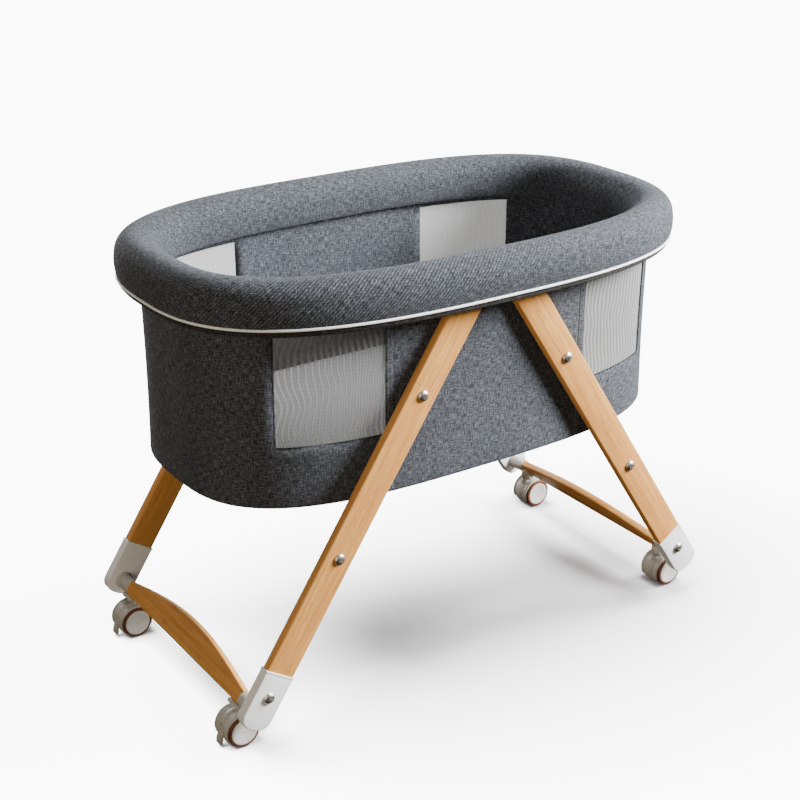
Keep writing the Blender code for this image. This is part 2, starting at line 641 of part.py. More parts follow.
# ---------------------------------------------------------------- castors
def caster_hood(name, corner, braked):
    """The castor's body between its wheels, with the axle stubs and a boss round the stem."""
    start, stop = HOOD_SPAN
    rings = []
    for y in (CASTER_Y - HOOD_HALF_WIDTH, CASTER_Y + HOOD_HALF_WIDTH):
        ring = []
        for i in range(14):
            angle = math.radians(start + (stop - start) * i / 13)
            out, up = HOOD_RADIUS * math.cos(angle), HOOD_RADIUS * math.sin(angle)
            ring.append(Vector((AXLE_X + out, y, AXLE_Z + up)))
        rings.append(ring)
    hood = add_object(f"caster_hood_{name}", loft(rings), "grey_plastic", corner, (STEM_X, CASTER_Y, AXLE_Z))
    combine(hood, lathe(STEM_BOSS, (STEM_X, CASTER_Y, 0.0), "z"), corner, "UNION")
    axle = lathe([(AXLE_RADIUS, -AXLE_HALF), (AXLE_RADIUS, AXLE_HALF)], (AXLE_X, CASTER_Y, AXLE_Z))
    combine(hood, axle, corner, "UNION")
    stem_hole = lathe([(STEM_RADIUS + GAP, STEM_BOTTOM_Z - GAP), (STEM_RADIUS + GAP, STEM_TOP_Z)],
                      (STEM_X, CASTER_Y, 0.0), "z")
    combine(hood, stem_hole, corner)
    if braked:
        half = PEDAL_HALF_WIDTH + PEDAL_SLOT_CLEARANCE
        (near, low), (far, high) = PEDAL_SLOT
        slot = block((AXLE_X + near, CASTER_Y - half, AXLE_Z + low),
                     (AXLE_X + far, CASTER_Y + half, AXLE_Z + high))
        combine(hood, slot, corner)


def caster_stem(name, corner):
    """The steel pin that the castor swivels on."""
    pin = lathe([(STEM_RADIUS, STEM_BOTTOM_Z), (STEM_RADIUS, STEM_TOP_Z)], (STEM_X, CASTER_Y, 0.0), "z")
    add_object(f"caster_stem_{name}", pin, "steel", corner, (STEM_X, CASTER_Y, STEM_BOTTOM_Z))


def caster_wheel(name, corner, side):
    """One wheel of a castor's pair, with flats whose distance from the axle is the wheel's radius."""
    tip = WHEEL_RADIUS / math.cos(math.pi / WHEEL_SIDES)
    bore = AXLE_RADIUS + GAP
    shoulder = tip - WHEEL_CHAMFER
    profile = [
        (bore, WHEEL_HUB_END), (bore, WHEEL_INNER), (shoulder, WHEEL_INNER),
        (tip, WHEEL_INNER + WHEEL_CHAMFER), (tip, WHEEL_OUTER - WHEEL_CHAMFER), (shoulder, WHEEL_OUTER)]
    profile = [(radius, along * side) for radius, along in profile]
    wheel = lathe(profile, (AXLE_X, CASTER_Y, AXLE_Z), sides=WHEEL_SIDES)
    add_object(name, wheel, "wheel", corner, (AXLE_X, CASTER_Y, AXLE_Z))


def brake_pedal(name, corner):
    """The hooked lever that locks a castor's wheels, drawn pressed down."""
    rings = []
    for y in (CASTER_Y - PEDAL_HALF_WIDTH, CASTER_Y + PEDAL_HALF_WIDTH):
        rings.append([Vector((AXLE_X + out, y, AXLE_Z + up)) for out, up in PEDAL_OUTLINE])
    pivot = (AXLE_X + PEDAL_PIVOT[0], CASTER_Y, AXLE_Z + PEDAL_PIVOT[1])
    add_object(f"brake_pedal_{name}", loft(rings), "grey_plastic", corner, pivot)


def rolling_gear():
    """Both rockers with their hubs and castors.  Only the left castors have brakes."""
    for name, side in (("left", -1), ("right", 1)):
        rocker_bar(name, side)
    for name, corner in CORNERS.items():
        braked = corner[0] < 0
        rocker_hub(name, corner)
        caster_hood(name, corner, braked)
        caster_stem(name, corner)
        caster_wheel(f"wheel_inner_{name}", corner, -1)
        caster_wheel(f"wheel_outer_{name}", corner, 1)
        if braked:
            brake_pedal(name, corner)


def main():
    """Build the whole bassinet in an empty scene."""
    for old in list(bpy.data.objects):
        bpy.data.objects.remove(old, do_unlink=True)
    basket()
    stand()
    rolling_gear()


main()
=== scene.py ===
import json
import math

import bmesh
import bpy
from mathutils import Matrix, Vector


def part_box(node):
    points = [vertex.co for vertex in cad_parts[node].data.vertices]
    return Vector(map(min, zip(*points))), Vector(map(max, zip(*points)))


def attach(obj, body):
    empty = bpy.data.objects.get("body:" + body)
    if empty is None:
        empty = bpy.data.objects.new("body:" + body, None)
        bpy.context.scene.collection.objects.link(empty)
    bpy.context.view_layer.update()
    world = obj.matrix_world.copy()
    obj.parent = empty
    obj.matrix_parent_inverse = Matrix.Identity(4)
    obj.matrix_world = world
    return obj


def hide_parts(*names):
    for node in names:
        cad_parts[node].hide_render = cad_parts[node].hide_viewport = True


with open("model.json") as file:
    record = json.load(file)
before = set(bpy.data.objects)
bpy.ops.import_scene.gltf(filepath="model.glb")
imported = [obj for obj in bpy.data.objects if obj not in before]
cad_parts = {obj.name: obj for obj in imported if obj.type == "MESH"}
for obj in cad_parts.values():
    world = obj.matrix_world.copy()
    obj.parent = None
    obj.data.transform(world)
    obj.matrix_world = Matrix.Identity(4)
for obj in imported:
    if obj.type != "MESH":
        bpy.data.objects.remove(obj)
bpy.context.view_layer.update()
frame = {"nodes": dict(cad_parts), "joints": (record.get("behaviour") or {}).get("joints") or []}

ACROSS, OUT, UP = Vector((1, 0, 0)), Vector((0, 1, 0)), Vector((0, 0, 1))
CORNERS = {"front_left": (-1, -1), "front_right": (1, -1),
           "rear_left": (-1, 1), "rear_right": (1, 1)}
BRAKED = ("front_left", "rear_left")


# -------- places from the frame
def middle(node):
    """The middle of a node's box."""
    low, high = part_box(node)
    return (low + high) / 2


def joint_place(name):
    """A point on a joint's axis."""
    return Vector(next(j for j in frame["joints"] if j["name"] == name)["pos_m"])


def outward(point):
    """A point given in the corner frame."""
    return Vector((abs(point.x), abs(point.y), point.z))


RIM_LOW, RIM_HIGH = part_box("rim_pad")
SHELL_LOW, SHELL_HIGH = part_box("basket_shell")
NET_LOW, NET_HIGH = (outward(p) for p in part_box("window_mesh_rear_right"))
MATTRESS_LOW, MATTRESS_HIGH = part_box("mattress")
LEG_LOW, LEG_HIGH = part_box("leg_rear_right")
SOCKET_LOW, SOCKET_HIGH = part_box("foot_socket_rear_right")
BAR_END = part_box("rocker_bar_right")[1].y
WHEEL_LOW, WHEEL_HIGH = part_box("wheel_outer_rear_right")
PIVOT = outward(joint_place("rocker_right_flip"))
STEM = outward(joint_place("caster_rear_right_swivel"))
STEM_FOOT = Vector((STEM.x, STEM.y, 0.0))
AXLE = outward(joint_place("wheel_outer_rear_right_roll"))
FOOT_BOLT = middle("foot_bolt_rear_right")
UPPER_BOLT = middle("upper_bolt_rear_right")

# An outline is a superellipse: half length, half width, exponent.
RIM_SWELL = 0.002            # how far the pad stands proud of its seam
RIM_OUTLINE = (RIM_HIGH.x - RIM_SWELL, RIM_HIGH.y - RIM_SWELL, 2.83)
RIM_WIDTH = 0.061
RIM_CROWN = 0.028            # height of the rounded top
CHANNEL_INSET = (0.0175, 0.055)      # the hollow for the tube, from the outline inward
CHANNEL_TOP = 0.663
PIPING_RADIUS = 0.0020
PIPING_DEPTH = 0.001         # of its centre behind the outline
PIPING_Z = middle("rim_piping").z
WALL_TOP_OUTLINE = (SHELL_HIGH.x, SHELL_HIGH.y, 3.1)
WALL_BOTTOM_OUTLINE = (SHELL_HIGH.x + 0.001, SHELL_HIGH.y, 3.1)
WALL_BOTTOM_Z = SHELL_LOW.z - 0.002
WALL_EDGE = 0.006            # rounding where the wall turns under
CLOTH = 0.002
SIDE_Y = 0.12                # the side panels are farther out than this
WINDOW_MARGIN = 0.0005
WINDOW_X = (NET_LOW.x - WINDOW_MARGIN, NET_HIGH.x + 0.0024)
WINDOW_Z = (NET_LOW.z - WINDOW_MARGIN, NET_HIGH.z + WINDOW_MARGIN)
SEAM_STRIP = 0.0115
STITCH_PITCH, STITCH_LENGTH = 0.0048, 0.0032
WELT_WIDTH, WELT_HEIGHT = 0.0022, 0.0016
SWELL_FRAMES, SWELL_PRESSURE = 20, 4.0
CLOTH_PITCH = 0.0013         # thread to thread
TWILL_PITCH, TWILL_FAINT = 0.0062, 0.12
NET_BAND_PITCH, NET_RUNG_PITCH, NET_THREAD_PITCH = 0.0084, 0.0056, 0.0011

LEG_WIDTH = 0.0475
LEG_THICKNESS = LEG_HIGH.y - LEG_LOW.y
LEG_UP = (UPPER_BOLT - FOOT_BOLT) * Vector((1, 0, 1))
LEG_UP.normalize()
LEG_OUT = Vector((LEG_UP.z, 0.0, -LEG_UP.x))
LEG_LEAN = math.atan2(-LEG_UP.x, LEG_UP.z)
LEG_EDGE = 0.0026
BAR_EDGE = 0.0022
SOCKET_TOP, SOCKET_ROUND, SOCKET_END = 0.036, -0.030, -0.0515    # along the leg, from the bolt
SOCKET_EXPONENT = 2.5
SOCKET_PROUD = 0.001         # wider than the leg, on each side
SOCKET_EDGE = 0.0018
BOLT_RADIUS = 0.0085
BAR_BOTTOM, BAR_END_TOP, BAR_CREST = -0.0100, 0.0107, 0.0352     # along the leg, from the pivot
BAR_THICKNESS = 0.012
SHELF_START_Y = 0.164        # where the hub's shelf starts under the bar
HOOD_RADIUS, HOOD_HALF_WIDTH, HOOD_SPAN = 0.0272, 0.0118, (-38.0, 218.0)     # degrees from outward
GUARD_INNER_RADIUS, GUARD_HALF_WIDTH, GUARD_TRIM = 0.0260, 0.0185, 12.0
PEDAL_SLOT, PEDAL_SLOT_HALF = (0.0066, 0.0115), 0.0066       # out and up from the axle


# -------- materials
def new_material(name, **values):
    """A Principled material with constant socket values set on the shader."""
    made = bpy.data.materials.new(name)
    made.use_nodes = True
    shader = made.node_tree.nodes["Principled BSDF"]
    for socket, value in values.items():
        shader.inputs[socket.replace("_", " ")].default_value = value
    return made, made.node_tree, shader


def node(tree, kind, settings=None, **inputs):
    """A node with its settings, and its inputs linked or set.  Input i0 is the first one, and so on."""
    made = tree.nodes.new(f"ShaderNode{kind}")
    for key, value in (settings or {}).items():
        setattr(made, key, value)
    for key, value in inputs.items():
        numbered = key[0] == "i" and key[1:].isdigit()
        socket = made.inputs[int(key[1:]) if numbered else key]
        if isinstance(value, bpy.types.NodeSocket):
            tree.links.new(value, socket)
        else:
            socket.default_value = value
    return made


def place(tree, scale=(1, 1, 1), rotation=(0, 0, 0), uv=False, symmetric=False):
    """Object coordinates, or the weave's own, scaled and turned."""
    if uv:
        source = node(tree, "UVMap", {"uv_map": "weave"}).outputs[0]
    else:
        source = node(tree, "TexCoord").outputs["Object"]
    if symmetric:
        source = node(tree, "VectorMath", {"operation": "ABSOLUTE"}, i0=source).outputs[0]
    if any(rotation):
        source = node(tree, "Mapping", None, Vector=source, Rotation=rotation).outputs[0]
    return node(tree, "Mapping", None, Vector=source, Scale=scale).outputs[0]


def weave_place(tree, across, up):
    """The weave's map in metres, scaled."""
    return place(tree, (across, up, 1), uv=True)


def noise(tree, vector, detail=3.0, roughness=0.5):
    return node(tree, "TexNoise", None, Vector=vector, Scale=1.0, Detail=detail,
                Roughness=roughness).outputs[0]


def ramp(tree, factor, stops):
    """A colour ramp through (position, colour) stops.  A single number is a grey."""
    made = node(tree, "ValToRGB", None, Fac=factor)
    elements = made.color_ramp.elements
    while len(elements) < len(stops):
        elements.new(0.5)
    for element, (position, colour) in zip(elements, stops):
        element.position = position
        element.color = (*(colour if isinstance(colour, tuple) else (colour,) * 3), 1.0)
    return made.outputs[0]


def mix(tree, factor, a, b, blend="MIX"):
    """Two colours mixed."""
    made = node(tree, "Mix", {"data_type": "RGBA", "blend_type": blend}, i0=factor)
    for index, value in ((6, a), (7, b)):
        if isinstance(value, bpy.types.NodeSocket):
            tree.links.new(value, made.inputs[index])
        else:
            made.inputs[index].default_value = (*value, 1.0)
    return made.outputs[2]


def maths(tree, operation, a, b=0.0):
    return node(tree, "Math", {"operation": operation}, i0=a, i1=b).outputs[0]


def scaled(tree, value, factor, offset=None):
    """A value times a factor, plus an offset."""
    product = maths(tree, "MULTIPLY", value, factor)
    return product if offset is None else maths(tree, "ADD", product, offset)


def split(tree, vector):
    """A vector's x, y and z."""
    return node(tree, "SeparateXYZ", None, Vector=vector).outputs


def map_range(tree, value, low, high, start=0.0, stop=1.0):
    """The range start to stop taken to low to high, and held beyond it."""
    return node(tree, "MapRange", None, Value=value, i1=start, i2=stop, i3=low, i4=high).outputs[0]


def crossing_threads(tree, pitch):
    """A plain weave's relief."""
    turns = 2 * math.pi / pitch
    across, up, _ = split(tree, weave_place(tree, turns, turns))
    return maths(tree, "MULTIPLY", maths(tree, "SINE", across), maths(tree, "SINE", up))


def bump(tree, shader, height, distance):
    """Relief on a shader, on top of any it already has."""
    made = node(tree, "Bump", None, Height=height, Distance=distance)
    old = shader.inputs["Normal"].links
    if old:
        tree.links.new(old[0].from_socket, made.inputs["Normal"])
    tree.links.new(made.outputs[0], shader.inputs["Normal"])


def cloth_material(name, dark, middle_tone, light, twill=0.0):
    """Heathered cloth: slubs of three yarn tones over a plain weave, with an optional twill."""
    made, tree, shader = new_material(name, Roughness=0.95, Sheen_Weight=0.05, Sheen_Roughness=0.5,
                                      Specular_IOR_Level=0.12)
    warp = noise(tree, weave_place(tree, 780, 98), 2.0)
    weft = noise(tree, weave_place(tree, 98, 780), 2.0)
    speckle = noise(tree, weave_place(tree, 1000, 1000), 1.0)
    tone = maths(tree, "ADD", scaled(tree, warp, 0.4), scaled(tree, weft, 0.4))
    tone = maths(tree, "ADD", tone, scaled(tree, speckle, 0.2))
    colour = ramp(tree, tone, [(0.40, dark), (0.50, middle_tone), (0.60, light)])
    patches = noise(tree, weave_place(tree, 9, 9), 2.0)
    colour = mix(tree, 0.5, colour, ramp(tree, patches, [(0.3, 0.42), (0.7, 0.58)]), "OVERLAY")
    threads = crossing_threads(tree, CLOTH_PITCH)
    if twill:
        turns = 2 * math.pi / TWILL_PITCH
        across, up, _ = split(tree, weave_place(tree, turns, turns))
        wobble = scaled(tree, noise(tree, weave_place(tree, 12, 12)), 2.0)
        stripe = maths(tree, "SINE", maths(tree, "ADD", maths(tree, "SUBTRACT", across, up), wobble))
        shade = ramp(tree, scaled(tree, stripe, 0.5, 0.5), [(0.2, 0.5 - twill), (0.8, 0.5 + twill)])
        # The twill is strong at the front left and fades along the rim and over it.
        x, y, _ = split(tree, place(tree))
        strong = maths(tree, "MULTIPLY", map_range(tree, x, 1.0, TWILL_FAINT, -0.10, 0.16),
                       map_range(tree, y, 1.0, TWILL_FAINT, -0.20, 0.0))
        colour = mix(tree, strong, colour, shade, "OVERLAY")
        bump(tree, shader, maths(tree, "MULTIPLY", stripe, strong), 0.00025)
    tree.links.new(colour, shader.inputs["Base Color"])
    bump(tree, shader, threads, 0.00012)
    bump(tree, shader, tone, 0.0006)
    return made


def net_material(name, tone_with_painted_light, cover_level, waves):
    """Fine white net, partly open, with the wavy bands that its crossing threads make."""
    made, tree, shader = new_material(name, Roughness=0.8, Specular_IOR_Level=0.25)
    across, up, _ = split(tree, weave_place(tree, 1, 1))
    wander = scaled(tree, noise(tree, weave_place(tree, 7, 13), 1.0), 30.0)
    phase = maths(tree, "ADD", scaled(tree, across, 2 * math.pi / NET_BAND_PITCH), wander)
    rung_phase = maths(tree, "ADD", scaled(tree, up, 2 * math.pi / NET_RUNG_PITCH), wander)
    rungs = scaled(tree, maths(tree, "SINE", rung_phase), 0.12, 0.88)
    bands = maths(tree, "MULTIPLY", maths(tree, "SINE", phase), rungs)
    weave = crossing_threads(tree, NET_THREAD_PITCH)
    gaps = 1 - cover_level
    cover = maths(tree, "ADD", scaled(tree, bands, gaps * waves * 0.4), scaled(tree, weave, gaps / 3))
    tree.links.new(maths(tree, "ADD", cover, cover_level), shader.inputs["Alpha"])
    # The net's tone is its white, made darker or lighter for each window as painted shade and painted
    # light.
    low, high = (tuple(c * tone_with_painted_light * (1 + side * 0.5 * waves) for c in (1.0, 1.01, 0.97))
                 for side in (-1, 1))
    tone = ramp(tree, scaled(tree, bands, 0.25, 0.5), [(0.2, low), (0.8, high)])
    tree.links.new(tone, shader.inputs["Base Color"])
    bump(tree, shader, weave, 0.0002)
    return made


def wood_material(name, across_leg):
    """Satin beech: long grain along the board, with short dark flecks."""
    made, tree, shader = new_material(name, Specular_IOR_Level=0.22)
    along, fleck = ((58, 58, 2.6), (700, 700, 75)) if across_leg else ((58, 2.6, 58), (700, 75, 700))

    def grain(scale, *looks):
        return noise(tree, place(tree, scale, (0, LEG_LEAN, 0), symmetric=True), *looks)

    figure = grain(along, 5.0, 0.6)
    fine = grain(tuple(4 * s for s in along), 4.0, 0.6)
    colour = ramp(tree, figure, [(0.30, (0.55, 0.235, 0.060)), (0.52, (0.65, 0.300, 0.078)),
                                 (0.75, (0.72, 0.360, 0.100))])
    colour = mix(tree, 0.55, colour, ramp(tree, fine, [(0.35, 0.36), (0.65, 0.62)]), "OVERLAY")
    flecks = ramp(tree, grain(fleck, 1.0), [(0.66, 0.0), (0.72, 0.55)])
    colour = mix(tree, flecks, colour, (0.26, 0.12, 0.05))
    tree.links.new(colour, shader.inputs["Base Color"])
    tree.links.new(map_range(tree, fine, 0.36, 0.52), shader.inputs["Roughness"])
    bump(tree, shader, fine, 0.00012)
    return made


def plastic_material(name, colour, roughness, grain=0.00004, tint=0.06):
    """Moulded plastic: a fine texture, faint mottling and slightly scuffed gloss."""
    made, tree, shader = new_material(name, Specular_IOR_Level=0.5)
    mottle = noise(tree, place(tree, (60,) * 3), 4.0)
    low, high = (tuple(c * f for c in colour) for f in (1 - tint, 1 + tint))
    tree.links.new(ramp(tree, mottle, [(0.3, low), (0.7, high)]), shader.inputs["Base Color"])
    gloss = map_range(tree, mottle, roughness - 0.06, roughness + 0.08)
    tree.links.new(gloss, shader.inputs["Roughness"])
    bump(tree, shader, noise(tree, place(tree, (2600,) * 3), 2.0), grain)
    return made


def steel_material(name, colour, roughness):
    """Satin metal with fine brushing."""
    made, tree, shader = new_material(name, Metallic=1.0, Base_Color=(*colour, 1.0))
    brushing = noise(tree, place(tree, (300, 300, 4000)))
    gloss = map_range(tree, brushing, roughness - 0.08, roughness + 0.1)
    tree.links.new(gloss, shader.inputs["Roughness"])
    tone = ramp(tree, brushing, [(0.3, tuple(c * 0.85 for c in colour)), (0.7, colour)])
    tree.links.new(tone, shader.inputs["Base Color"])
    bump(tree, shader, brushing, 0.00003)
    return made


FABRIC_TONES = ((0.018, 0.020, 0.024), (0.056, 0.061, 0.070), (0.150, 0.160, 0.180))
# Darker cloth: painted shade on the band under the piping, and the own colour of the dark welt round
# each net.
SHADE_AND_TRIM_TONES = ((0.012, 0.011, 0.010), (0.030, 0.028, 0.026), (0.070, 0.065, 0.060))
TICKING_TONES = ((0.60, 0.60, 0.58), (0.70, 0.70, 0.68), (0.78, 0.78, 0.76))
RIM_TONES = tuple(tuple(0.92 * c for c in tone) for tone in FABRIC_TONES)
MATERIALS = {
    "rim": cloth_material("rim_cloth", *RIM_TONES, twill=0.17),
    "wall": cloth_material("wall_cloth", *FABRIC_TONES),
    "shade_and_trim": cloth_material("shade_and_trim_cloth", *SHADE_AND_TRIM_TONES),
    "piping": plastic_material("piping_cord", (0.96, 0.96, 0.95), 0.6, 0.00015, 0.03),
    "thread": plastic_material("thread", (0.22, 0.23, 0.25), 0.7, 0.00005, 0.1),
    "mattress": cloth_material("mattress_ticking", *TICKING_TONES),
    # These are one white net in painted light and shade: darkened at the front left as painted shade,
    # lighter at the front right as the key's painted light, and pale and nearly closed at the rear as
    # painted light from behind.
    "net_front_left": net_material("net_front_left", 0.142, 0.76, 1.0),
    "net_front_right": net_material("net_front_right", 0.30, 0.80, 0.7),
    "net_rear": net_material("net_rear", 0.38, 0.972, 0.15),
    "leg_beech": wood_material("leg_beech", True),
    "bar_beech": wood_material("bar_beech", False),
    "board": plastic_material("board_fibre", (0.40, 0.31, 0.21), 0.8, 0.0002, 0.2),
    "steel": steel_material("bolt_steel", (0.62, 0.58, 0.53), 0.40),
    "tube": steel_material("tube_steel", (0.32, 0.32, 0.33), 0.38),
    "white": plastic_material("white_plastic", (0.93, 0.93, 0.91), 0.34, tint=0.03),
    "grey": plastic_material("grey_plastic", (0.50, 0.48, 0.43), 0.30),
    "tread": plastic_material("tread_rubber", (0.120, 0.042, 0.018), 0.42, 0.00008),
    "cap": plastic_material("cap_plastic", (0.60, 0.58, 0.54), 0.32),
}


# -------- modelling helpers
def finish_piece(name, bm, looks, body, replaced=(), corner=(1, 1), sharp=40.0):
    """An object from a mesh in the corner frame, riding on its body in place of CAD nodes."""
    bmesh.ops.scale(bm, vec=(corner[0], corner[1], 1.0), verts=bm.verts)
    bmesh.ops.recalc_face_normals(bm, faces=bm.faces)
    mesh = bpy.data.meshes.new(name)
    bm.to_mesh(mesh)
    bm.free()
    mesh.shade_smooth()
    mesh.set_sharp_from_angle(angle=math.radians(sharp))
    for look in looks:
        mesh.materials.append(MATERIALS[look])
    made = bpy.data.objects.new(name, mesh)
    bpy.context.collection.objects.link(made)
    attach(made, body)
    if replaced:
        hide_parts(*replaced)
    return made


def add_loft(bm, rings, wrap=False, closed=True):
    """Faces between successive rings of points, capped unless the rings are open or wrap round."""
    rows = [[bm.verts.new(point) for point in ring] for ring in rings]
    pairs = list(zip(rows, rows[1:]))
    if wrap:
        pairs.append((rows[-1], rows[0]))
    count = len(rows[0])
    for low, high in pairs:
        for i in range(count if closed else count - 1):
            j = (i + 1) % count
            bm.faces.new((low[i], low[j], high[j], high[i]))
    if closed and not wrap:
        bm.faces.new(rows[0])
        bm.faces.new(rows[-1])
    return rows


def add_weave(bm, uv_of):
    """The weave's map in metres, from each face corner's vertex."""
    weave = bm.loops.layers.uv.new("weave")
    for face in bm.faces:
        for loop in face.loops:
            loop[weave].uv = uv_of(loop.vert)


def add_lathe(bm, profile, origin, axis="y", sides=40):
    """A turned shape: (radius, distance along the axis), and a material's number if it changes."""
    rings = []
    for entry in profile:
        radius, along = entry[:2]
        ring = []
        for i in range(sides):
            angle = 2 * math.pi * (i + 0.5) / sides
            a, b = radius * math.cos(angle), radius * math.sin(angle)
            ring.append(origin + Vector((a, along, b) if axis == "y" else (a, b, along)))
        rings.append(ring)
    rows = add_loft(bm, rings)
    for entry, low, high in zip(profile, rows, rows[1:]):
        if len(entry) > 2:
            for vert in low:
                for face in vert.link_faces:
                    if any(v in high for v in face.verts):
                        face.material_index = entry[2]


def rounded_rectangle(half_a, half_b, radius, steps=4):
    """Corner-rounded rectangle, as (a, b) pairs."""
    points = []
    for quarter in range(4):
        centre_a = (half_a - radius) * (1 if quarter in (0, 3) else -1)
        centre_b = (half_b - radius) * (1 if quarter in (0, 1) else -1)
        for step in range(steps + 1):
            angle = math.pi / 2 * (quarter + step / steps)
            points.append((centre_a + radius * math.cos(angle), centre_b + radius * math.sin(angle)))
    return points


def add_bar(bm, place_of, low, high, half_a, half_b, radius):
    """A straight bar with every edge rounded.  place_of turns (along, a, b) into a point."""
    rings = []
    for step in range(4):
        angle = math.pi / 2 * step / 3
        inset, rise = radius * (1 - math.sin(angle)), radius * (1 - math.cos(angle))
        rings.append((low + rise, inset))
    rings += [(low + high - along, inset) for along, inset in reversed(rings)]
    lofted = []
    for along, inset in rings:
        outline = rounded_rectangle(half_a - inset, half_b - inset, radius)
        lofted.append([place_of(along, a, b) for a, b in outline])
    add_loft(bm, lofted)


def oval_stations(outline, count):
    """Evenly spaced points on a superellipse, each with its outward normal and distance along it."""
    half_length, half_width, exponent = outline
    fine = []
    steps = 4096
    for i in range(steps + 1):
        angle = 2 * math.pi * i / steps
        total = (abs(math.cos(angle) / half_length) ** exponent
                 + abs(math.sin(angle) / half_width) ** exponent) ** (-1 / exponent)
        fine.append(Vector((total * math.cos(angle), total * math.sin(angle), 0.0)))
    lengths = [0.0]
    for a, b in zip(fine, fine[1:]):
        lengths.append(lengths[-1] + (b - a).length)
    stations, nearest = [], 0
    for i in range(count):
        target = lengths[-1] * i / count
        while lengths[nearest + 1] < target:
            nearest += 1
        share = (target - lengths[nearest]) / (lengths[nearest + 1] - lengths[nearest])
        point = fine[nearest].lerp(fine[nearest + 1], share)
        slope_x = math.copysign(abs(point.x / half_length) ** (exponent - 1) / half_length, point.x)
        slope_y = math.copysign(abs(point.y / half_width) ** (exponent - 1) / half_width, point.y)
        stations.append((point, Vector((slope_x, slope_y, 0.0)).normalized(), target))
    return stations, lengths[-1]


def oval_share(point, outline, inset=0.0):
    """Below 1 inside the outline, moved inward by the inset, and above 1 outside it."""
    half_length, half_width, exponent = outline
    return (abs(point.x / (half_length - inset)) ** exponent
            + abs(point.y / (half_width - inset)) ** exponent)


def sweep(outline, profile, count):
    """A closed profile of (depth, height) taken round the outline, with a weave map in metres."""
    bm = bmesh.new()
    stations, total = oval_stations(outline, count)
    rings = [[point - normal * depth + UP * z for depth, z in profile] for point, normal, _ in stations]
    rows = add_loft(bm, rings, wrap=True)
    lengths = [0.0]
    for a, b in zip(profile, profile[1:] + profile[:1]):
        lengths.append(lengths[-1] + math.dist(a, b))
    weave = bm.loops.layers.uv.new("weave")
    where = {vert: (r, i) for r, row in enumerate(rows) for i, vert in enumerate(row)}
    for face in bm.faces:
        spots = [where[loop.vert] for loop in face.loops]
        wraps_u = max(s[0] for s in spots) - min(s[0] for s in spots) > 1
        wraps_v = max(s[1] for s in spots) - min(s[1] for s in spots) > 1
        for loop, (r, i) in zip(face.loops, spots):
            u = total if wraps_u and r == 0 else stations[r][2]
            v = lengths[-1] if wraps_v and i == 0 else lengths[i]
            loop[weave].uv = (u, v)
    return bm


def round_points(radius, count):
    """Evenly spaced points on a circle."""
    angles = (2 * math.pi * i / count for i in range(count))
    return [(radius * math.cos(angle), radius * math.sin(angle)) for angle in angles]


def swell(obj, is_held, cap):
    """Puff a closed cloth mesh up with a short simulation, holding the points that are sewn down.

    No point ends farther than the cap from where it started.
    """
    held = obj.vertex_groups.new(name="held")
    held.add([v.index for v in obj.data.vertices if is_held(v.co)], 1.0, "REPLACE")
    cloth = obj.modifiers.new("cloth", "CLOTH")
    cloth.settings.vertex_group_mass = "held"
    cloth.settings.use_pressure = True
    cloth.settings.uniform_pressure_force = SWELL_PRESSURE
    cloth.settings.quality = 6
    cloth.settings.effector_weights.gravity = 0.0
    cloth.point_cache.frame_start, cloth.point_cache.frame_end = 1, SWELL_FRAMES
    scene = bpy.context.scene
    for number in range(1, SWELL_FRAMES + 1):
        scene.frame_set(number)
    shaped = obj.evaluated_get(bpy.context.evaluated_depsgraph_get()).to_mesh()
    moved = [v.co.copy() for v in shaped.vertices]
    obj.modifiers.remove(cloth)
    obj.vertex_groups.remove(held)
    scene.frame_set(1)
    for vert, target in zip(obj.data.vertices, moved):
        step = target - vert.co
        if step.length > cap:
            step *= cap / step.length
        vert.co += step


def subdivide(obj):
    """Smooth a piece by one subdivision, the same in view and render."""
    modifier = obj.modifiers.new("smooth", "SUBSURF")
    modifier.levels = modifier.render_levels = 1


